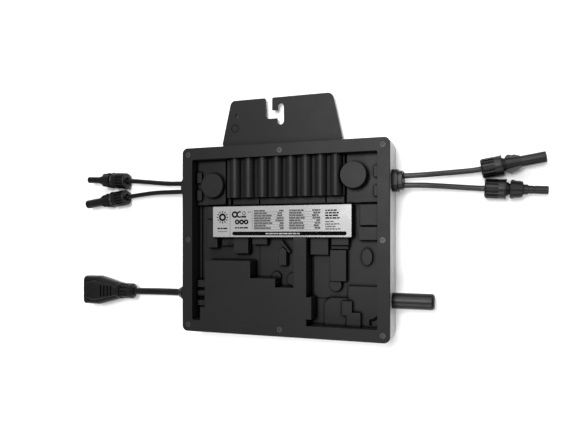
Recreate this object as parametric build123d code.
"""Two-input micro-inverter with panel leads, mains lead, antenna and hanging bracket.

Millimetres. The inverter lies on its back: Z is up out of the front cover, Y points at the
hanging bracket, X to the antenna side. The origin is the centre of the case's back face.
"""
import math
import os

from build123d import *

# Case
CASE_WIDTH = 229.0
CASE_HEIGHT = 201.0
FLANGE_TOP = 40.0
CASE_CORNER = 6.0
RIM_THICK = 3.0
GASKET_THICK = 1.0
TRAY_INSET = 0.85
TRAY_WALL = 3.0
BACK_THICK = 4.5
TRAY_TOP = FLANGE_TOP - RIM_THICK - GASKET_THICK
WALL_FACE_X = CASE_WIDTH / 2 - TRAY_INSET
WALL_FACE_Y = CASE_HEIGHT / 2 - TRAY_INSET

# Recess in the front cover and its relief
RECESS_X = 102.3
RECESS_LOW_Y = -88.0
RECESS_HIGH_Y = 87.6
FLOOR_Z = 21.5
COVER_WALL = 2.0
EDGE_ROUND = 0.6
HUMP_PITCH = 16.03
HUMP_FIRST_X = -53.4
HUMP_COUNT = 8
HUMP_RADIUS = 6.0
HUMP_AXIS_Z = 32.0
HUMP_LOW_Y = 45.2
PLATFORM_Z = 28.0
LABEL_PLATEAU_Z = 35.0

# Cover screws
SCREW_X = 107.4
SCREW_Y = 93.2
SCREW_SPOTS = [(x, y) for x in (-SCREW_X, SCREW_X) for y in (-SCREW_Y, 0, SCREW_Y)]
SCREW_SPOTS += [(0, -SCREW_Y), (0, SCREW_Y)]
SCREW_RADIUS = 1.5
SCREW_HEAD_RADIUS = 3.0
SCREW_HEAD_DEPTH = 1.6
POST_DEPTH = 9.0

# Input capacitors, one under each hump
CAN_RADIUS = 6.0
CAN_AXIS_Z = 22.5

# Circuit board
BOARD_X = 103.0
BOARD_Y = 88.0
BOARD_LOW_Z = 7.0
BOARD_THICK = 1.6
BOARD_TOP_Z = BOARD_LOW_Z + BOARD_THICK
STANDOFF_SPOTS = [(x, y) for x in (-97, 0, 97) for y in (-84, 40)]
STANDOFF_RADIUS = 3.5
DC_TERMINAL_X = 97.5
AC_TERMINAL_X = 90.0
AC_WIRE_GAP = 2.6

# Hanging bracket
BRACKET_SHEET = 2.5
BRACKET_X = -11.0
BRACKET_FOOT_HALF = 67.4
BRACKET_ROOT_HALF = 70.0
BRACKET_TOP_HALF = 59.0
BRACKET_CORNER = 6.0
BRACKET_LOW_Y = 45.0
BRACKET_JOG_Y = 103.5
BRACKET_SIDE_Y = 108.0
BRACKET_TOP_Y = 156.4
BRACKET_LIFT = 6.0
FOOT_SCREWS = [(BRACKET_X + x, y) for x in (-48, 48) for y in (58, 92)]
SLOT_WIDTH = 8.0
SLOT_ENTRY_X = -24.4
SLOT_POCKET_X = -10.55
SLOT_LOW_Y = 133.2
SLOT_CROSS_Y = 142.6
EARTH_HOLE_RADIUS = 2.15

# Leads and their connectors
DC_CABLE = 5.5
AC_CABLE = 8.2
LEAD_Z = 16.0
DC_LEAD_Y = 59.5
DC_LEAD_GAP = 9.4
AC_LEAD_Y = -60.9
LEAD_START = 2.0
CONNECTOR_Z = 9.8
PLUG_Z = 12.4

# The double gland of the panel leads: its middle is above the leads
GLAND_RISE = 2.0

# The radio antenna
ANTENNA_Y = -60.9
ANTENNA_Z = 18.0
ANTENNA_RADIUS = 8.0
ANTENNA_LENGTH = 41.3

NODES = {}


def ring(outer, inner, low, high):
    """A round washer or sleeve about the Z axis."""
    body = Pos(0, 0, low) * extrude(Circle(outer), high - low)
    hole = Pos(0, 0, low - 1) * extrude(Circle(inner), high - low + 2)
    return body - hole


def rod(radius, low, high):
    """A round rod along the Z axis."""
    return Pos(0, 0, low) * extrude(Circle(radius), high - low)


def slab(x0, x1, y0, y1, z0, z1, corner=0.0):
    """A flat block between two corners, its upright edges rounded by `corner`."""
    width, depth = x1 - x0, y1 - y0
    outline = RectangleRounded(width, depth, corner) if corner else Rectangle(width, depth)
    return Pos((x0 + x1) / 2, (y0 + y1) / 2, z0) * extrude(outline, z1 - z0)


def column(points, z0, z1):
    """A polygon raised from z0 to z1."""
    return Pos(0, 0, z0) * extrude(make_face(Polyline(*points, close=True)), z1 - z0)


def soft_top(body, radius=EDGE_ROUND):
    """Round the edges of a block's top face."""
    return fillet(body.faces().sort_by(Axis.Z)[-1].edges(), radius)


def along_x(shape, x, y, z, sign):
    """Turn a shape built along +Z to run along +X or -X from a point."""
    return Plane(origin=(x, y, z), x_dir=(0, 0, 1), z_dir=(sign, 0, 0)).location * shape


def level(shape, start, heading):
    """Place a shape built along +Z at `start`, running level in a heading (degrees from +X)."""
    turn = math.radians(heading)
    direction = (math.cos(turn), math.sin(turn), 0)
    return Plane(origin=start, x_dir=(0, 0, 1), z_dir=direction).location * shape


# ---------------------------------------------------------------- front cover

# Blocks beside the recess wall run this far into it
INTO_WALL = 1.0
LEFT_WALL = -RECESS_X - INTO_WALL
RIGHT_WALL = RECESS_X + INTO_WALL
LOW_WALL = RECESS_LOW_Y - INTO_WALL
HIGH_WALL = RECESS_HIGH_Y + INTO_WALL
# Raised blocks of the relief: x from, x to, y from, y to, top, corner radius
BLOCKS = {
    "left_wall_foot": (LEFT_WALL, -99.4, LOW_WALL, HIGH_WALL, 23.6, 0.5),
    "left_platform": (LEFT_WALL, -67.6, 38.2, HIGH_WALL, PLATFORM_Z, 1.0),
    "right_platform": (68.6, RIGHT_WALL, 37.6, HIGH_WALL, PLATFORM_Z, 0.6),
    "hump_bed": (-63.6, 64.9, HUMP_LOW_Y, HIGH_WALL, HUMP_AXIS_Z, 0.6),
    "bed_foot": (63.4, 66.8, HUMP_LOW_Y, HIGH_WALL, 29.0, 0.5),
    "label_plateau": (-79.4, 75.8, 2.4, 36.2, LABEL_PLATEAU_Z, 0.8),
    "left_clip_high": (-101.6, -95.4, 62.6, 74.2, 31.0, 1.2),
    "left_clip_low": (-101.6, -95.4, 43.1, 54.7, 31.0, 1.2),
    "right_clip_high": (96.8, RIGHT_WALL, 62.7, 74.4, 31.0, 1.2),
    "right_clip_low": (96.8, RIGHT_WALL, 43.5, 54.5, 31.0, 1.2),
    "right_box_high": (82.9, RIGHT_WALL, 14.6, 35.6, 32.0, 0.6),
    "right_box_low": (81.6, RIGHT_WALL, -0.2, 13.1, 32.0, 0.6),
    "left_column_high": (-89.1, -78.0, 22.8, 36.2, 30.2, 0.6),
    "left_column_low": (-89.1, -76.2, -8.8, 22.0, 31.0, 0.6),
    "left_foot": (-74.2, -57.0, -6.8, 3.0, 24.2, 0.6),
    "left_foot_rib": (-66.2, -60.6, -6.2, -4.8, 25.4, 0.3),
    "middle_floor": (-28.3, 16.0, -50.0, 3.0, 22.7, 0.3),
    "middle_box": (-56.2, -38.9, -14.9, 3.0, 31.6, 0.6),
    "middle_step": (-34.5, -17.4, -5.0, 3.0, 31.0, 0.6),
    "right_floor": (32.4, RIGHT_WALL, -60.0, 37.0, 22.7, 0.3),
    "right_top_box": (30.6, 50.2, -15.3, 3.0, 31.0, 0.6),
    "right_top_bar": (53.2, 71.4, -5.4, 3.0, 31.0, 0.6),
    "right_strip": (52.2, 70.4, -9.5, -6.1, 28.6, 0.4),
    "right_tower": (51.5, 68.6, -42.1, -10.4, 30.0, 0.6),
    "corner_shelf": (69.4, RIGHT_WALL, LOW_WALL, -47.1, 25.4, 0.6),
    "lead_bar_high": (LEFT_WALL, -86.9, -52.9, -45.0, 29.0, 0.5),
    "lead_bar_low": (LEFT_WALL, -86.9, -73.2, -67.2, 29.0, 0.5),
}
# Round raised parts: x, y, radius, top
DISCS = {
    "left_boss": (-81.0, 59.3, 13.2, 34.6),
    "right_boss": (77.8, 64.9, 13.4, 39.4),
    "small_dome": (-8.9, -39.5, 5.2, 25.6),
    "corner_dome": (9.9, -42.0, 6.8, 25.6),
    "tower_foot": (57.0, -46.0, 6.4, 28.6),
}
# Gaps in the ledge between the humps and the label: x from and x to
LEDGE_GAPS = [(-61.4, -58.2), (-28.0, -26.4), (45.9, 47.5)]
LEDGE_TOP_Z = 27.6
# The large flat field at flange height and the band that runs up from it to the label
FIELD = [
    (-87.0, -22.4), (-33.0, -22.4), (-33.0, -40.5), (-4.7, -40.5), (-4.7, -49.4),
    (15.0, -49.4), (15.0, 2.6), (29.4, 2.6), (29.4, -58.4), (34.8, -58.4),
    (34.8, -81.2), (29.4, -81.2), (29.4, LOW_WALL), (-92.7, LOW_WALL), (-92.7, -73.6),
    (-87.0, -73.6),
]
FIELD_HOLLOW = [
    (-84.9, -24.6), (-35.2, -24.6), (-35.2, -51.6), (17.2, -51.6), (17.2, -20.0),
    (27.2, -20.0), (27.2, -85.8), (-84.9, -85.8),
]
# Parts of the relief with slanted outlines: outline and top
GABLE = [(-4.6, -26.9), (4.4, -26.9), (4.4, -11.7), (-0.1, -7.9), (-4.6, -11.7)]
GABLE_TOP_Z = 31.0
RIDGE = [(-3.4, -1.8), (-1.6, -0.6), (8.0, -12.4), (6.2, -13.8)]
RIDGE_TOP_Z = 29.0
STAIR = [(63.5, -62.2), (74.4, -62.2), (74.4, -73.7), (83.2, -73.7), (83.2, LOW_WALL),
         (68.4, LOW_WALL), (68.4, -77.0), (63.5, -77.0)]
STAIR_TOP_Z = 28.8
CORNER_GROOVE = [(91.2, -86.0), (91.2, -80.2), (96.2, -78.6), (101.0, -74.8),
                 (101.0, -78.4), (97.2, -81.4), (94.2, -82.2), (94.2, -86.0)]
ARCH_TOP_Z = 26.6


def hump(radius, y0, y1, x, z=HUMP_AXIS_Z):
    """One long round bar lying along Y."""
    return Pos(x, y1, z) * Rot(90, 0, 0) * extrude(Circle(radius), y1 - y0)


def slanted_relief():
    """The raised parts whose outlines aren't plain rectangles or circles."""
    low = FLOOR_Z - 1
    body = soft_top(column(GABLE, low, GABLE_TOP_Z))
    body += column(RIDGE, low, RIDGE_TOP_Z)
    body += soft_top(column(STAIR, low, STAIR_TOP_Z))
    arch = Pos(57, -74.3) * Rectangle(25, 29.4)
    corner = arch.vertices().sort_by(Axis.Y)[2:].sort_by(Axis.X)[0]
    arch = fillet(corner, 9.0)
    body += soft_top(Pos(0, 0, low) * extrude(arch, ARCH_TOP_Z - low))
    oval = Pos(89.0, -17.2, low) * extrude(Ellipse(5.7, 8.5), 26.2 - low)
    body += soft_top(oval)
    cable_bar = Pos(-94.6, -59.4, 25.6) * Rot(0, 90, 0) * Cylinder(3.75, 16.4)
    return body + cable_bar


def cover_outside():
    """The rim, the sunk pan and everything that rises from its floor."""
    body = slab(-CASE_WIDTH / 2, CASE_WIDTH / 2, -CASE_HEIGHT / 2, CASE_HEIGHT / 2,
                FLANGE_TOP - RIM_THICK, FLANGE_TOP, CASE_CORNER)
    body = soft_top(body)
    wall = COVER_WALL
    body += slab(-RECESS_X - wall, RECESS_X + wall, RECESS_LOW_Y - wall, RECESS_HIGH_Y + wall,
                 FLOOR_Z - wall, FLANGE_TOP - 0.5, 3.0)
    body -= slab(-RECESS_X, RECESS_X, RECESS_LOW_Y, RECESS_HIGH_Y, FLOOR_Z, FLANGE_TOP + 1, 2.0)
    for x0, x1, y0, y1, top, corner in BLOCKS.values():
        body += soft_top(slab(x0, x1, y0, y1, FLOOR_Z - 1, top, corner), min(EDGE_ROUND, corner))
    for x, y, radius, top in DISCS.values():
        body += soft_top(Pos(x, y, 0) * rod(radius, FLOOR_Z - 1, top))
    body += slanted_relief()
    for index in range(HUMP_COUNT):
        x = HUMP_FIRST_X + index * HUMP_PITCH
        body += hump(HUMP_RADIUS, HUMP_LOW_Y, RECESS_HIGH_Y + 1, x)
    ledge = slab(-64.0, 66.0, 38.0, HUMP_LOW_Y + 0.5, FLOOR_Z - 1, LEDGE_TOP_Z)
    for x0, x1 in LEDGE_GAPS:
        ledge -= slab(x0, x1, 37.0, HUMP_LOW_Y - 0.1, FLOOR_Z, LEDGE_TOP_Z + 1)
    body += ledge
    body += soft_top(column(FIELD, FLOOR_Z - 1, FLANGE_TOP))
    return body - column(CORNER_GROOVE, FLOOR_Z, FLANGE_TOP - RIM_THICK)


def cover_hollow():
    """The space under the relief that the components rise into."""
    wall = COVER_WALL
    low = FLOOR_Z - wall - 3
    hollow = column(FIELD_HOLLOW, low, FLANGE_TOP - 2.4)
    hollow += slab(-77.0, 73.6, 4.4, 34.2, low, LABEL_PLATEAU_Z - wall)
    hollow += slab(-94.4, -69.6, 40.2, RECESS_HIGH_Y - wall, low, PLATFORM_Z - wall)
    hollow += slab(70.6, 97.8, 39.6, RECESS_HIGH_Y - wall, low, PLATFORM_Z - wall)
    hollow += slab(-61.6, 63.0, HUMP_LOW_Y + 2, RECESS_HIGH_Y - wall, low, HUMP_AXIS_Z - wall)
    hollow += slab(62.0, 65.1, HUMP_LOW_Y + 2, RECESS_HIGH_Y - wall, low, 29.0 - wall)
    for index in range(HUMP_COUNT):
        x = HUMP_FIRST_X + index * HUMP_PITCH
        hollow += hump(HUMP_RADIUS - 1.6, HUMP_LOW_Y + 2, RECESS_HIGH_Y - wall, x)
    for name in ("left_boss", "right_boss"):
        x, y, radius, top = DISCS[name]
        hollow += Pos(x, y, 0) * rod(radius - wall, low, top - wall)
    return hollow


def make_front_cover():
    cover = cover_outside() - cover_hollow()
    for x, y in SCREW_SPOTS:
        cover -= Pos(x, y, 0) * rod(SCREW_RADIUS + 0.2, 30, FLANGE_TOP + 1)
        cover -= Pos(x, y, 0) * rod(SCREW_HEAD_RADIUS + 0.25, FLANGE_TOP - SCREW_HEAD_DEPTH,
                                    FLANGE_TOP + 1)
    NODES["front_cover"] = cover


def make_cover_screws():
    screws = []
    for x, y in SCREW_SPOTS:
        head = rod(SCREW_HEAD_RADIUS, FLANGE_TOP - SCREW_HEAD_DEPTH, FLANGE_TOP - 0.1)
        drive = extrude(RegularPolygon(1.4, 6), 1.2)
        screw = head - Pos(0, 0, FLANGE_TOP - 1.2) * drive
        screw += rod(SCREW_RADIUS - 0.05, FLANGE_TOP - 14, FLANGE_TOP - SCREW_HEAD_DEPTH)
        screws.append(Pos(x, y, 0) * screw)
    NODES["cover_screws"] = Compound(screws)


# -------------------------------------------------------------- rear housing

def post_at(x, y):
    """The screw post inside the tray wall beside a cover screw."""
    half = POST_DEPTH / 2
    if abs(x) == SCREW_X:
        x0, x1 = sorted((math.copysign(104.7, x), math.copysign(WALL_FACE_X - 1, x)))
    else:
        x0, x1 = x - half, x + half
    if y == 0:
        y0, y1 = -half, half
    else:
        y0, y1 = sorted((math.copysign(90.2, y), math.copysign(WALL_FACE_Y - 1, y)))
    return slab(x0, x1, y0, y1, BACK_THICK - 1, TRAY_TOP)


def make_rear_housing():
    inner_x = WALL_FACE_X - TRAY_WALL
    inner_y = WALL_FACE_Y - TRAY_WALL
    tray = slab(-WALL_FACE_X, WALL_FACE_X, -WALL_FACE_Y, WALL_FACE_Y, 0, TRAY_TOP, CASE_CORNER)
    tray = fillet(tray.faces().sort_by(Axis.Z)[0].edges(), 1.2)
    tray -= slab(-inner_x, inner_x, -inner_y, inner_y, BACK_THICK, TRAY_TOP + 1, 3.0)
    for x, y in SCREW_SPOTS:
        tray += post_at(x, y)
        tray -= Pos(x, y, 0) * rod(SCREW_RADIUS, FLANGE_TOP - 16, TRAY_TOP + 1)
    for x, y in STANDOFF_SPOTS:
        tray += Pos(x, y, 0) * rod(STANDOFF_RADIUS, BACK_THICK - 1, BOARD_LOW_Z)
        tray -= Pos(x, y, 0) * rod(1.25, 3.0, BOARD_LOW_Z + 1)
    half = BRACKET_FOOT_HALF + 0.3
    tray -= slab(BRACKET_X - half, BRACKET_X + half, BRACKET_LOW_Y - 0.3, WALL_FACE_Y + 1,
                 -1, BRACKET_SHEET + 0.05)
    for x, y in FOOT_SCREWS:
        tray += Pos(x, y, 0) * rod(4.0, BACK_THICK - 1, BOARD_LOW_Z - 0.2)
        tray -= Pos(x, y, 0) * rod(1.75, -1, BOARD_LOW_Z)
    for sign in (-1, 1):
        neck = extrude(RectangleRounded(12.7, 17.7, 5.0), 12)
        tray -= along_x(neck, sign * (WALL_FACE_X - 10), DC_LEAD_Y, LEAD_Z, sign)
    tray -= along_x(rod(6.55, -8, 2), -WALL_FACE_X, AC_LEAD_Y, LEAD_Z, -1)
    tray -= along_x(rod(3.05, -8, 2), WALL_FACE_X, ANTENNA_Y, ANTENNA_Z, 1)
    NODES["rear_housing"] = tray


def make_gasket():
    inner_x, inner_y = 104.6, 90.0
    outer_x, outer_y = WALL_FACE_X - 0.8, WALL_FACE_Y - 0.8
    low, high = TRAY_TOP, TRAY_TOP + GASKET_THICK
    gasket = slab(-outer_x, outer_x, -outer_y, outer_y, low, high, CASE_CORNER - 0.8)
    gasket -= slab(-inner_x, inner_x, -inner_y, inner_y, low - 1, high + 1, 3.2)
    for x, y in SCREW_SPOTS:
        gasket -= Pos(x, y, 0) * rod(2.0, low - 1, high + 1)
    NODES["cover_gasket"] = gasket


# ------------------------------------------------------------ hanging bracket

def bracket_outline():
    """The plate seen from the front: a foot behind the case and a tapered ear above it."""
    foot, root, top = BRACKET_FOOT_HALF, BRACKET_ROOT_HALF, BRACKET_TOP_HALF
    points = [
        (-foot, BRACKET_LOW_Y), (foot, BRACKET_LOW_Y), (foot, BRACKET_JOG_Y),
        (root, BRACKET_SIDE_Y), (top, BRACKET_TOP_Y), (-top, BRACKET_TOP_Y),
        (-root, BRACKET_SIDE_Y), (-foot, BRACKET_JOG_Y),
    ]
    face = make_face(Polyline(*points, close=True))
    face = fillet(face.vertices().sort_by(Axis.Y)[-2:], BRACKET_CORNER)
    plate = Pos(BRACKET_X, 0, 0) * face - hook_slot()
    mouth = [v for v in plate.vertices()
             if v.Y > BRACKET_TOP_Y - 0.1 and abs(v.X - SLOT_ENTRY_X) < SLOT_WIDTH]
    return fillet(mouth, 1.6)


def hook_slot():
    """The slot a rail bolt enters: down from the edge, sideways and up into a pocket."""
    top = BRACKET_TOP_Y + 5
    entry = Pos(SLOT_ENTRY_X, (SLOT_LOW_Y + top) / 2) * Rectangle(SLOT_WIDTH, top - SLOT_LOW_Y)
    corner = entry.vertices().sort_by(Axis.Y)[:2].sort_by(Axis.X)[0]
    entry = fillet(corner, 5.5)
    width = SLOT_POCKET_X - SLOT_ENTRY_X
    crossing = Rectangle(width, SLOT_CROSS_Y - SLOT_LOW_Y)
    crossing = Pos(SLOT_ENTRY_X + width / 2, (SLOT_LOW_Y + SLOT_CROSS_Y) / 2) * crossing
    pocket = Pos(SLOT_POCKET_X, 137.8) * Rot(0, 0, 90) * SlotOverall(23.4, SLOT_WIDTH)
    return entry + crossing + pocket


def make_bracket():
    lift, sheet = BRACKET_LIFT, BRACKET_SHEET
    jog_low, jog_high = BRACKET_JOG_Y - 1, BRACKET_SIDE_Y - 1
    profile = [
        (BRACKET_LOW_Y, 0), (jog_low + 1, 0), (jog_high + 0.6, lift), (BRACKET_TOP_Y, lift),
        (BRACKET_TOP_Y, lift + sheet), (jog_high - 1, lift + sheet), (jog_low - 0.6, sheet),
        (BRACKET_LOW_Y, sheet),
    ]
    side = Plane.YZ * make_face(Polyline(*profile, close=True))
    width = 2 * BRACKET_ROOT_HALF + 4
    sheet_body = extrude(side, width / 2, both=True)
    body = Pos(BRACKET_X, 0, 0) * sheet_body
    body &= Pos(0, 0, -1) * extrude(bracket_outline(), lift + sheet + 2)
    face_z = lift + sheet
    body -= Pos(-62.8, 139.6, 0) * rod(EARTH_HOLE_RADIUS, 0, face_z + 1)
    body -= Pos(-65.2, 125.2, 0) * ring(4.6, 3.8, face_z - 0.6, face_z + 1)
    for x, y in FOOT_SCREWS:
        body -= Pos(x, y, 0) * rod(2.0, -1, sheet + 1)
        body -= Pos(x, y, 0) * Pos(0, 0, 0.95) * Cone(3.9, 2.0, 1.9)
    NODES["mounting_bracket"] = body


def make_bracket_screws():
    screws = []
    for x, y in FOOT_SCREWS:
        screw = Pos(0, 0, 1.0) * Cone(3.6, 1.7, 1.8) + rod(1.7, 1.8, BOARD_LOW_Z - 0.6)
        screws.append(Pos(x, y, 0) * screw)
    NODES["bracket_screws"] = Compound(screws)


def make_label():
    top = LABEL_PLATEAU_Z
    NODES["rating_label"] = slab(-78.9, 75.3, 2.9, 35.7, top, top + 0.4, 0.6)


# --------------------------------------------------------------- electronics

def on_board(x, y, width, depth, height, lift=0.0, corner=0.6):
    """A block standing on the board, or `lift` above it."""
    low = BOARD_TOP_Z + lift
    x0, y0 = x - width / 2, y - depth / 2
    return slab(x0, x0 + width, y0, y0 + depth, low, low + height, corner)


def make_board():
    board = slab(-BOARD_X, BOARD_X, -BOARD_Y, BOARD_Y, BOARD_LOW_Z, BOARD_TOP_Z, 2.0)
    potting = slab(-BOARD_X, BOARD_X, -BOARD_Y, BOARD_Y, BACK_THICK, BOARD_LOW_Z)
    screws = []
    for x, y in STANDOFF_SPOTS:
        board -= Pos(x, y, 0) * rod(1.6, 0, 20)
        potting -= Pos(x, y, 0) * rod(STANDOFF_RADIUS, 0, 20)
        screw = rod(2.6, BOARD_TOP_Z, BOARD_TOP_Z + 1.8) + rod(1.2, 3.2, BOARD_TOP_Z + 0.1)
        screws.append(Pos(x, y, 0) * screw)
    for x, y in FOOT_SCREWS:
        potting -= Pos(x, y, 0) * rod(4.0, 0, 20)
    NODES["main_board"] = board
    NODES["thermal_potting"] = potting
    NODES["board_screws"] = Compound(screws)


def make_capacitors():
    spots = [HUMP_FIRST_X + index * HUMP_PITCH for index in range(HUMP_COUNT)]
    cans = [hump(CAN_RADIUS, 48.4, 84.6, x, CAN_AXIS_Z) for x in spots]
    NODES["input_capacitors"] = Compound([can.solid() for can in cans])
    cradle = slab(-61.0, 61.8, 54, 80, 14.0, 20.0, 1.0)
    for x in spots:
        cradle -= hump(CAN_RADIUS + 0.05, 40, 90, x, CAN_AXIS_Z)
    for x in (-57.4, 2.7, 58.0):
        cradle += slab(x - 1.3, x + 1.3, 56, 78, BOARD_TOP_Z, 14.5)
    NODES["capacitor_cradle"] = cradle


def make_transformers():
    cores, windings = [], []
    for x in (-36.0, 32.0):
        core = on_board(x, 19.5, 36, 15, 22)
        for side in (-1, 1):
            core -= on_board(x + side * 9.2, 19.5, 8.4, 17, 14, 4)
        cores.append(core)
        winding = on_board(x, 19.5, 26.4, 27, 12, 5)
        winding -= on_board(x, 19.5, 10.2, 15.2, 12, 5, corner=0)
        windings.append(winding)
    NODES["transformer_cores"] = Compound([core.solid() for core in cores])
    NODES["transformer_windings"] = Compound([winding.solid() for winding in windings])


# Drum chokes, one under each boss and one in the mains filter: x, y, radius, height
CHOKES = [(-81.6, 59.4, 9.6, 22), (77.8, 64.9, 9.6, 27), (-20, -68, 12, 26)]


def make_chokes():
    cores, windings = [], []
    for x, y, radius, height in CHOKES:
        low, high = BOARD_TOP_Z, BOARD_TOP_Z + height
        core = rod(radius, low, low + 3) + rod(4, low, high) + rod(radius, high - 3, high)
        winding = ring(radius - 0.8, 4.05, low + 3.05, high - 3.05)
        cores.append(Pos(x, y, 0) * core)
        windings.append(Pos(x, y, 0) * winding)
    NODES["choke_cores"] = Compound(cores)
    NODES["choke_windings"] = Compound(windings)


def make_small_components():
    NODES["film_capacitors"] = Compound([on_board(-72, y, 22, 14, 22) for y in (-34, -52)])
    NODES["ac_relays"] = Compound([on_board(-47, y, 18, 14, 16) for y in (-34, -62)])
    spots = [(x, y) for x in (38, 52, 66) for y in (-18, -36)]
    NODES["power_transistors"] = Compound([on_board(x, y, 10, 9.2, 4.5) for x, y in spots])
    chips = [on_board(-12, -12, 10, 10, 1.6), on_board(-28, -12, 7, 5, 1.6)]
    chips.append(on_board(30, -75, 12, 8, 2.2))
    NODES["control_chips"] = Compound(chips)
    module = on_board(88, ANTENNA_Y, 22, 20, 1.0)
    can = on_board(87, ANTENNA_Y, 15, 14, 2.6, 1.0)
    NODES["radio_module"] = Compound([module, can])


def make_terminals():
    for side, sign in (("left", -1), ("right", 1)):
        block = on_board(sign * DC_TERMINAL_X, DC_LEAD_Y, 9, 19, 10.4)
        for offset in (-1, 1):
            y = DC_LEAD_Y + offset * DC_LEAD_GAP / 2
            block -= along_x(rod(1.5, -3, 8), sign * DC_TERMINAL_X, y, LEAD_Z, sign)
        NODES[f"dc_terminal_{side}"] = block
    block = on_board(-AC_TERMINAL_X, AC_LEAD_Y, 11, 16, 10.4)
    for offset in (-1, 0, 1):
        y = AC_LEAD_Y + offset * AC_WIRE_GAP
        block -= along_x(rod(1.2, -4, 8), -AC_TERMINAL_X, y, LEAD_Z, -1)
    NODES["ac_terminal"] = block


def make_inner_wires():
    """The stripped lead ends that run from the glands to the terminals."""
    wires = []
    length = WALL_FACE_X + LEAD_START - DC_TERMINAL_X
    for sign in (-1, 1):
        for offset in (-1, 1):
            y = DC_LEAD_Y + offset * DC_LEAD_GAP / 2
            wires.append(along_x(rod(1.3, 0, length), sign * DC_TERMINAL_X, y, LEAD_Z, sign))
    length = WALL_FACE_X + LEAD_START - AC_TERMINAL_X
    for offset in (-1, 0, 1):
        y = AC_LEAD_Y + offset * AC_WIRE_GAP
        wires.append(along_x(rod(1.0, 0, length), -AC_TERMINAL_X, y, LEAD_Z, -1))
    NODES["inner_wires"] = Compound(wires)


# --------------------------------------------------------------------- glands

def make_dc_glands():
    """A stepped block in the side wall with a rubber insert that grips two leads."""
    for side, sign in (("left", -1), ("right", 1)):
        gland = Pos(GLAND_RISE, 0, 0) * extrude(RectangleRounded(21, 22, 6.5), 5.6)
        gland += Pos(GLAND_RISE, 0, 0) * extrude(RectangleRounded(17.5, 18.4, 5.5), 10.8)
        gland += Pos(0, 0, -7.5) * extrude(RectangleRounded(12.6, 17.6, 5.0), 8)
        gland = fillet(gland.faces().sort_by(Axis.Z)[-1].edges(), 0.8)
        pocket = extrude(RectangleRounded(9.6, 15.8, 4.4), 12)
        gland -= Pos(0, 0, -1) * pocket
        insert = Pos(0, 0, -1) * extrude(RectangleRounded(9.5, 15.7, 4.35), 11.2)
        for offset in (-1, 1):
            bore = Pos(0, offset * DC_LEAD_GAP / 2, 0) * rod(DC_CABLE / 2 + 0.05, -9, 13)
            gland -= bore
            insert -= bore
        place = (sign * WALL_FACE_X, DC_LEAD_Y, LEAD_Z, sign)
        NODES[f"dc_gland_{side}"] = along_x(gland, *place)
        NODES[f"dc_seal_{side}"] = along_x(insert, *place)


def make_ac_gland():
    """A threaded gland body in the wall, the seal it squeezes and the nut that turns."""
    bore = rod(AC_CABLE / 2 + 0.1, -9, 20)
    body = rod(8.5, 0, 4) + rod(6.5, -7.5, 9) - bore
    seal = ring(6.1, AC_CABLE / 2 + 0.15, 9.3, 12.6)
    nut = rod(8.5, 4.3, 12) + Pos(0, 0, 14.7) * Cone(8.5, 5.3, 5.4)
    for index in range(6):
        nut -= Rot(0, 0, 60 * index) * slab(8.1, 10, -1.5, 1.5, 4, 11.5)
    nut -= rod(6.57, 4, 12.8)
    nut -= rod(AC_CABLE / 2 + 0.6, 12, 20)
    place = (-WALL_FACE_X, AC_LEAD_Y, LEAD_Z, -1)
    NODES["ac_gland_body"] = along_x(body, *place)
    NODES["ac_gland_seal"] = along_x(seal, *place)
    NODES["ac_gland_nut"] = along_x(nut, *place)


def make_antenna():
    sleeve = rod(ANTENNA_RADIUS, 0, ANTENNA_LENGTH)
    sleeve = fillet(sleeve.faces().sort_by(Axis.Z)[-1].edges(), 3.2)
    sleeve -= rod(3.0, -1, ANTENNA_LENGTH - 4)
    element = rod(2.0, -8, ANTENNA_LENGTH - 6) + rod(2.98, -7, 1.0)
    place = (WALL_FACE_X, ANTENNA_Y, ANTENNA_Z, 1)
    NODES["antenna_sleeve"] = along_x(sleeve, *place)
    NODES["antenna_element"] = along_x(element, *place)


# --------------------------------------------------------- leads and connectors

def start_x(sign):
    """Where a panel lead begins, inside its gland on the right (1) or the left (-1)."""
    return sign * (WALL_FACE_X + LEAD_START)


HIGH_Y = DC_LEAD_Y + DC_LEAD_GAP / 2
LOW_Y = DC_LEAD_Y - DC_LEAD_GAP / 2

# Each panel lead: the route outside the case, and where its connector starts and points.
# The route's first point is inside the gland and its last inside the connector.
PANEL_LEADS = {
    "right_upper": {
        "kind": "socket", "start": (197.6, 68.8, CONNECTOR_Z), "heading": 9.2,
        "route": [(start_x(1), HIGH_Y, LEAD_Z), (138, HIGH_Y, LEAD_Z), (164, 66.0, 12.0)],
    },
    "right_lower": {
        "kind": "pin", "start": (200.7, 49.9, CONNECTOR_Z), "heading": -3.2,
        "route": [(start_x(1), LOW_Y, LEAD_Z), (139, LOW_Y, LEAD_Z), (166, 52.8, 12.0)],
    },
    "left_upper": {
        "kind": "pin", "start": (-207.7, 70.7, CONNECTOR_Z), "heading": 177.0,
        "route": [(start_x(-1), HIGH_Y, LEAD_Z), (-141, HIGH_Y, LEAD_Z), (-168, 67.0, 11.8)],
    },
    "left_lower": {
        "kind": "socket", "start": (-208.2, 50.9, CONNECTOR_Z), "heading": 187.6,
        "route": [(start_x(-1), LOW_Y, LEAD_Z), (-141, LOW_Y, LEAD_Z), (-168, 55.2, 11.8)],
    },
}
MAINS_LEAD = {
    "start": (-195.0, -61.9, PLUG_Z), "heading": 180.0,
    "route": [(start_x(-1), AC_LEAD_Y, LEAD_Z), (-143, AC_LEAD_Y, LEAD_Z), (-167, -61.4, 13.0)],
}
STRAIGHT_BEFORE = 7.5
PANEL_LEAD_DEPTH = 16.0
PLUG_LEAD_DEPTH = 18.0


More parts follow.
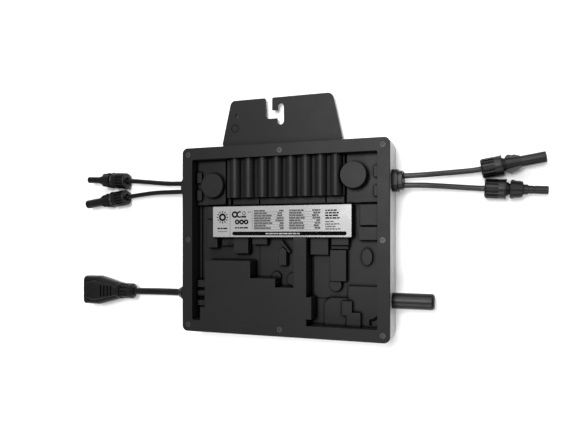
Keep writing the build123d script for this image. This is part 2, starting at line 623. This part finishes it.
def full_route(lead, depth):
    """The hand-set points, one just before the connector and one inside it."""
    turn = math.radians(lead["heading"])
    x, y, z = lead["start"]
    points = list(lead["route"])
    for reach in (-STRAIGHT_BEFORE, depth):
        points.append((x + reach * math.cos(turn), y + reach * math.sin(turn), z))
    return points


def lead_tube(name, points, diameter):
    """Straight runs joined by arcs as large as the runs allow."""
    corners = [Vector(*point) for point in points]
    radii = []
    for before, here, after in zip(corners, corners[1:], corners[2:]):
        run_in, run_out = here - before, after - here
        turn = math.radians(run_in.get_angle(run_out))
        radii.append(0.45 * min(run_in.length, run_out.length) / math.tan(turn / 2))
    path = FilletPolyline(*points, radius=radii)
    start = Plane(origin=path @ 0, z_dir=path % 0)
    tube = sweep(start * Circle(diameter / 2), path=path)
    expected = math.pi * diameter ** 2 / 4 * path.length
    print(name, "radii", [round(r) for r in radii], "length", round(path.length, 1),
          "volume ratio", round(tube.volume / expected, 4))
    NODES[name] = tube.solid()


def rounded_rod(radius, low, high, low_round=0.0, high_round=0.0):
    """A round rod whose end edges are rounded."""
    body = rod(radius, low, high)
    if low_round:
        body = fillet(body.faces().sort_by(Axis.Z)[0].edges(), low_round)
    if high_round:
        body = fillet(body.faces().sort_by(Axis.Z)[-1].edges(), high_round)
    return body


def flute(body, radius, low, high, count, depth, width):
    """Cut lengthwise grip grooves into a round body."""
    groove = slab(radius - depth, radius + 1, -width / 2, width / 2, low, high)
    for index in range(count):
        body -= Rot(0, 0, index * 360 / count) * groove
    return body


# Half outlines of the two latch arms beside a connector's body: distance out, distance along
SOCKET_LATCH = [(4.0, 22.6), (6.6, 22.8), (8.2, 24.4), (8.2, 26.6), (7.2, 28.6), (7.4, 31.0),
                (5.2, 36.0), (4.0, 36.0)]
PIN_LATCH = [(4.0, 23.2), (8.3, 23.4), (8.9, 24.8), (7.7, 28.6), (7.9, 30.6), (7.2, 33.6),
             (6.0, 34.4), (4.0, 34.4)]
LATCH_THICK = 7.0
# The pin connector's sleeve enters the socket connector's bore
SLEEVE_RADIUS = 3.9
SOCKET_RADIUS = 4.1
SOCKET_FLOOR = 42.4
SOCKET_END = 58.4
SLEEVE_END = 56.5


def latch_arms(outline):
    """The pair of arms that click into the mating connector."""
    arm = extrude(Plane.YZ * make_face(Polyline(*outline, close=True)), LATCH_THICK / 2,
                  both=True)
    return arm + Rot(0, 0, 180) * arm


def make_panel_connector(name, kind, start, heading):
    """Gland nut, clamping collet, body and metal contact, from the lead's end outwards."""
    bore = DC_CABLE / 2
    nut = rounded_rod(9.3, 0, 19.6, low_round=2.0)
    nut = flute(nut, 9.3, 1.6, 12.4, 16, 0.9, 1.7)
    nut += Pos(0, 0, 18.8) * Cone(9.3, 9.8, 1.6)
    nut -= rod(4.3, -1, 5)
    nut -= rod(6.57, 4, 21)
    collet = ring(5.0, bore + 0.15, 4.2, 11.2)
    body = rod(6.5, 11.5, 21.4) + rod(5.4, 21, 24)
    if kind == "socket":
        body += Pos(0, 0, 29) * Cone(6.3, 5.3, 14)
        body += rounded_rod(5.2, 35, SOCKET_END, high_round=0.5)
        body += latch_arms(SOCKET_LATCH)
        contact = rod(2.5, PANEL_LEAD_DEPTH, SOCKET_FLOOR - 0.8) - rod(1.1, 34, SOCKET_FLOOR)
        body -= rod(SOCKET_RADIUS, SOCKET_FLOOR, SOCKET_END + 1)
        body -= rod(2.6, 30, SOCKET_FLOOR + 1)
    else:
        body += Pos(0, 0, 28.6) * Cone(7.9, 6.9, 11)
        body += latch_arms(PIN_LATCH)
        body += rod(4.8, 34, 38.7) + rounded_rod(SLEEVE_RADIUS, 38, SLEEVE_END, high_round=0.4)
        body -= ring(5.0, SLEEVE_RADIUS - 0.35, 43.6, 44.8)
        contact = rod(2.5, PANEL_LEAD_DEPTH, 38) + rod(1.2, 38, 55)
        body -= rod(1.5, 36, 60)
    body -= rod(bore + 0.1, 10, PANEL_LEAD_DEPTH)
    body -= rod(2.6, PANEL_LEAD_DEPTH - 1, 38.2)
    pieces = {"nut": nut, "collet": collet, "body": body, "contact": contact}
    for piece, shape in pieces.items():
        NODES[f"{name}_{piece}"] = level(shape, start, heading)


# The mains plug, from the lead's end outwards
PLUG_FLARE_END = 49.0
PLUG_LENGTH = 68.6
PLUG_WIDTH = 34.4
PLUG_NUT_END = 17.4
PLUG_EDGE_THICK = 17.0
PLUG_THICK = 22.4
PANEL_PEAK = 53.0
PANEL_END = 64.0
MOUTH_DEPTH = 15.0


def plug_section(along, thick, width, corner):
    """One rounded cross-section of the plug's shell."""
    return Pos(0, 0, along) * RectangleRounded(thick, width, corner)


def plug_shell():
    """A flat flared shell with a raised panel on each face."""
    flare = loft([plug_section(21, 15, 19.8, 6), plug_section(PLUG_FLARE_END, PLUG_EDGE_THICK,
                                                              PLUG_WIDTH, 6)])
    mouth = plug_section(PLUG_FLARE_END, PLUG_EDGE_THICK, PLUG_WIDTH, 6)
    shell = flare + extrude(mouth, PLUG_LENGTH - PLUG_FLARE_END)
    peak = plug_section(PANEL_PEAK, PLUG_THICK, 24.6, 3)
    shell += loft([plug_section(21, 19.0, 11.4, 3), peak])
    shell += loft([peak, plug_section(PANEL_END, PLUG_THICK, 19.2, 3)])
    shell += rod(9.8, PLUG_NUT_END + 0.2, 22.6)
    return shell


def make_plug(start, heading):
    """The trunk-cable plug: its shell, insert and contacts, behind its own gland nut."""
    bore = AC_CABLE / 2
    nut = rod(9.0, 3, PLUG_NUT_END) + Pos(0, 0, 1.5) * Cone(5.4, 9.0, 3)
    nut = flute(nut, 9.0, 7, PLUG_NUT_END - 1.5, 12, 0.8, 1.8)
    nut -= rod(bore + 0.6, -1, 5)
    nut -= rod(6.57, 4.5, 20)
    collet = ring(6.0, bore + 0.15, 4.8, 10.6)
    shell = plug_shell() + rod(6.5, 11, 20)
    pocket_low = PLUG_LENGTH - MOUTH_DEPTH
    for side in (-1, 1):
        for along in (28.0, 32.7, 37.4, 42.1):
            shell -= Pos(side * 12.0, 0, along) * Box(6.2, 12.4, 1.7)
    shell -= extrude(plug_section(pocket_low, 13.5, 29, 2), MOUTH_DEPTH + 1)
    shell -= rod(bore + 0.1, 10, PLUG_LEAD_DEPTH)
    shell -= rod(5.0, PLUG_LEAD_DEPTH - 0.5, pocket_low + 1)
    insert = rod(4.9, PLUG_LEAD_DEPTH + 2, pocket_low)
    insert += extrude(plug_section(pocket_low, 13.4, 28.9, 2), 4)
    contacts = []
    for offset in (-8, 0, 8):
        insert -= Pos(0, offset, 0) * rod(1.55, pocket_low + 0.6, pocket_low + 5)
        pin = rounded_rod(1.5, pocket_low + 0.7, pocket_low + 12.5, high_round=0.5)
        contacts.append(level(Pos(0, offset, 0) * pin, start, heading))
    NODES["ac_plug_nut"] = level(nut, start, heading)
    NODES["ac_plug_collet"] = level(collet, start, heading)
    NODES["ac_plug_body"] = level(shell, start, heading)
    NODES["ac_plug_insert"] = level(insert, start, heading)
    NODES["ac_plug_contacts"] = Compound(contacts)


def make_leads():
    for name, lead in PANEL_LEADS.items():
        tube_points = full_route(lead, PANEL_LEAD_DEPTH)
        lead_tube(f"{name}_lead", tube_points, DC_CABLE)
        make_panel_connector(name, lead["kind"], lead["start"], lead["heading"])
    lead_tube("mains_lead", full_route(MAINS_LEAD, PLUG_LEAD_DEPTH), AC_CABLE)
    make_plug(MAINS_LEAD["start"], MAINS_LEAD["heading"])


def build_all():
    make_front_cover()
    make_cover_screws()
    make_rear_housing()
    make_gasket()
    make_bracket()
    make_bracket_screws()
    make_label()
    make_board()
    make_capacitors()
    make_transformers()
    make_chokes()
    make_small_components()
    make_terminals()
    make_inner_wires()
    make_dc_glands()
    make_ac_gland()
    make_antenna()
    make_leads()


build_all()
os.makedirs("parts", exist_ok=True)
for node, shape in NODES.items():
    export_step(shape, f"parts/{node}.step")
print(len(NODES), "nodes")
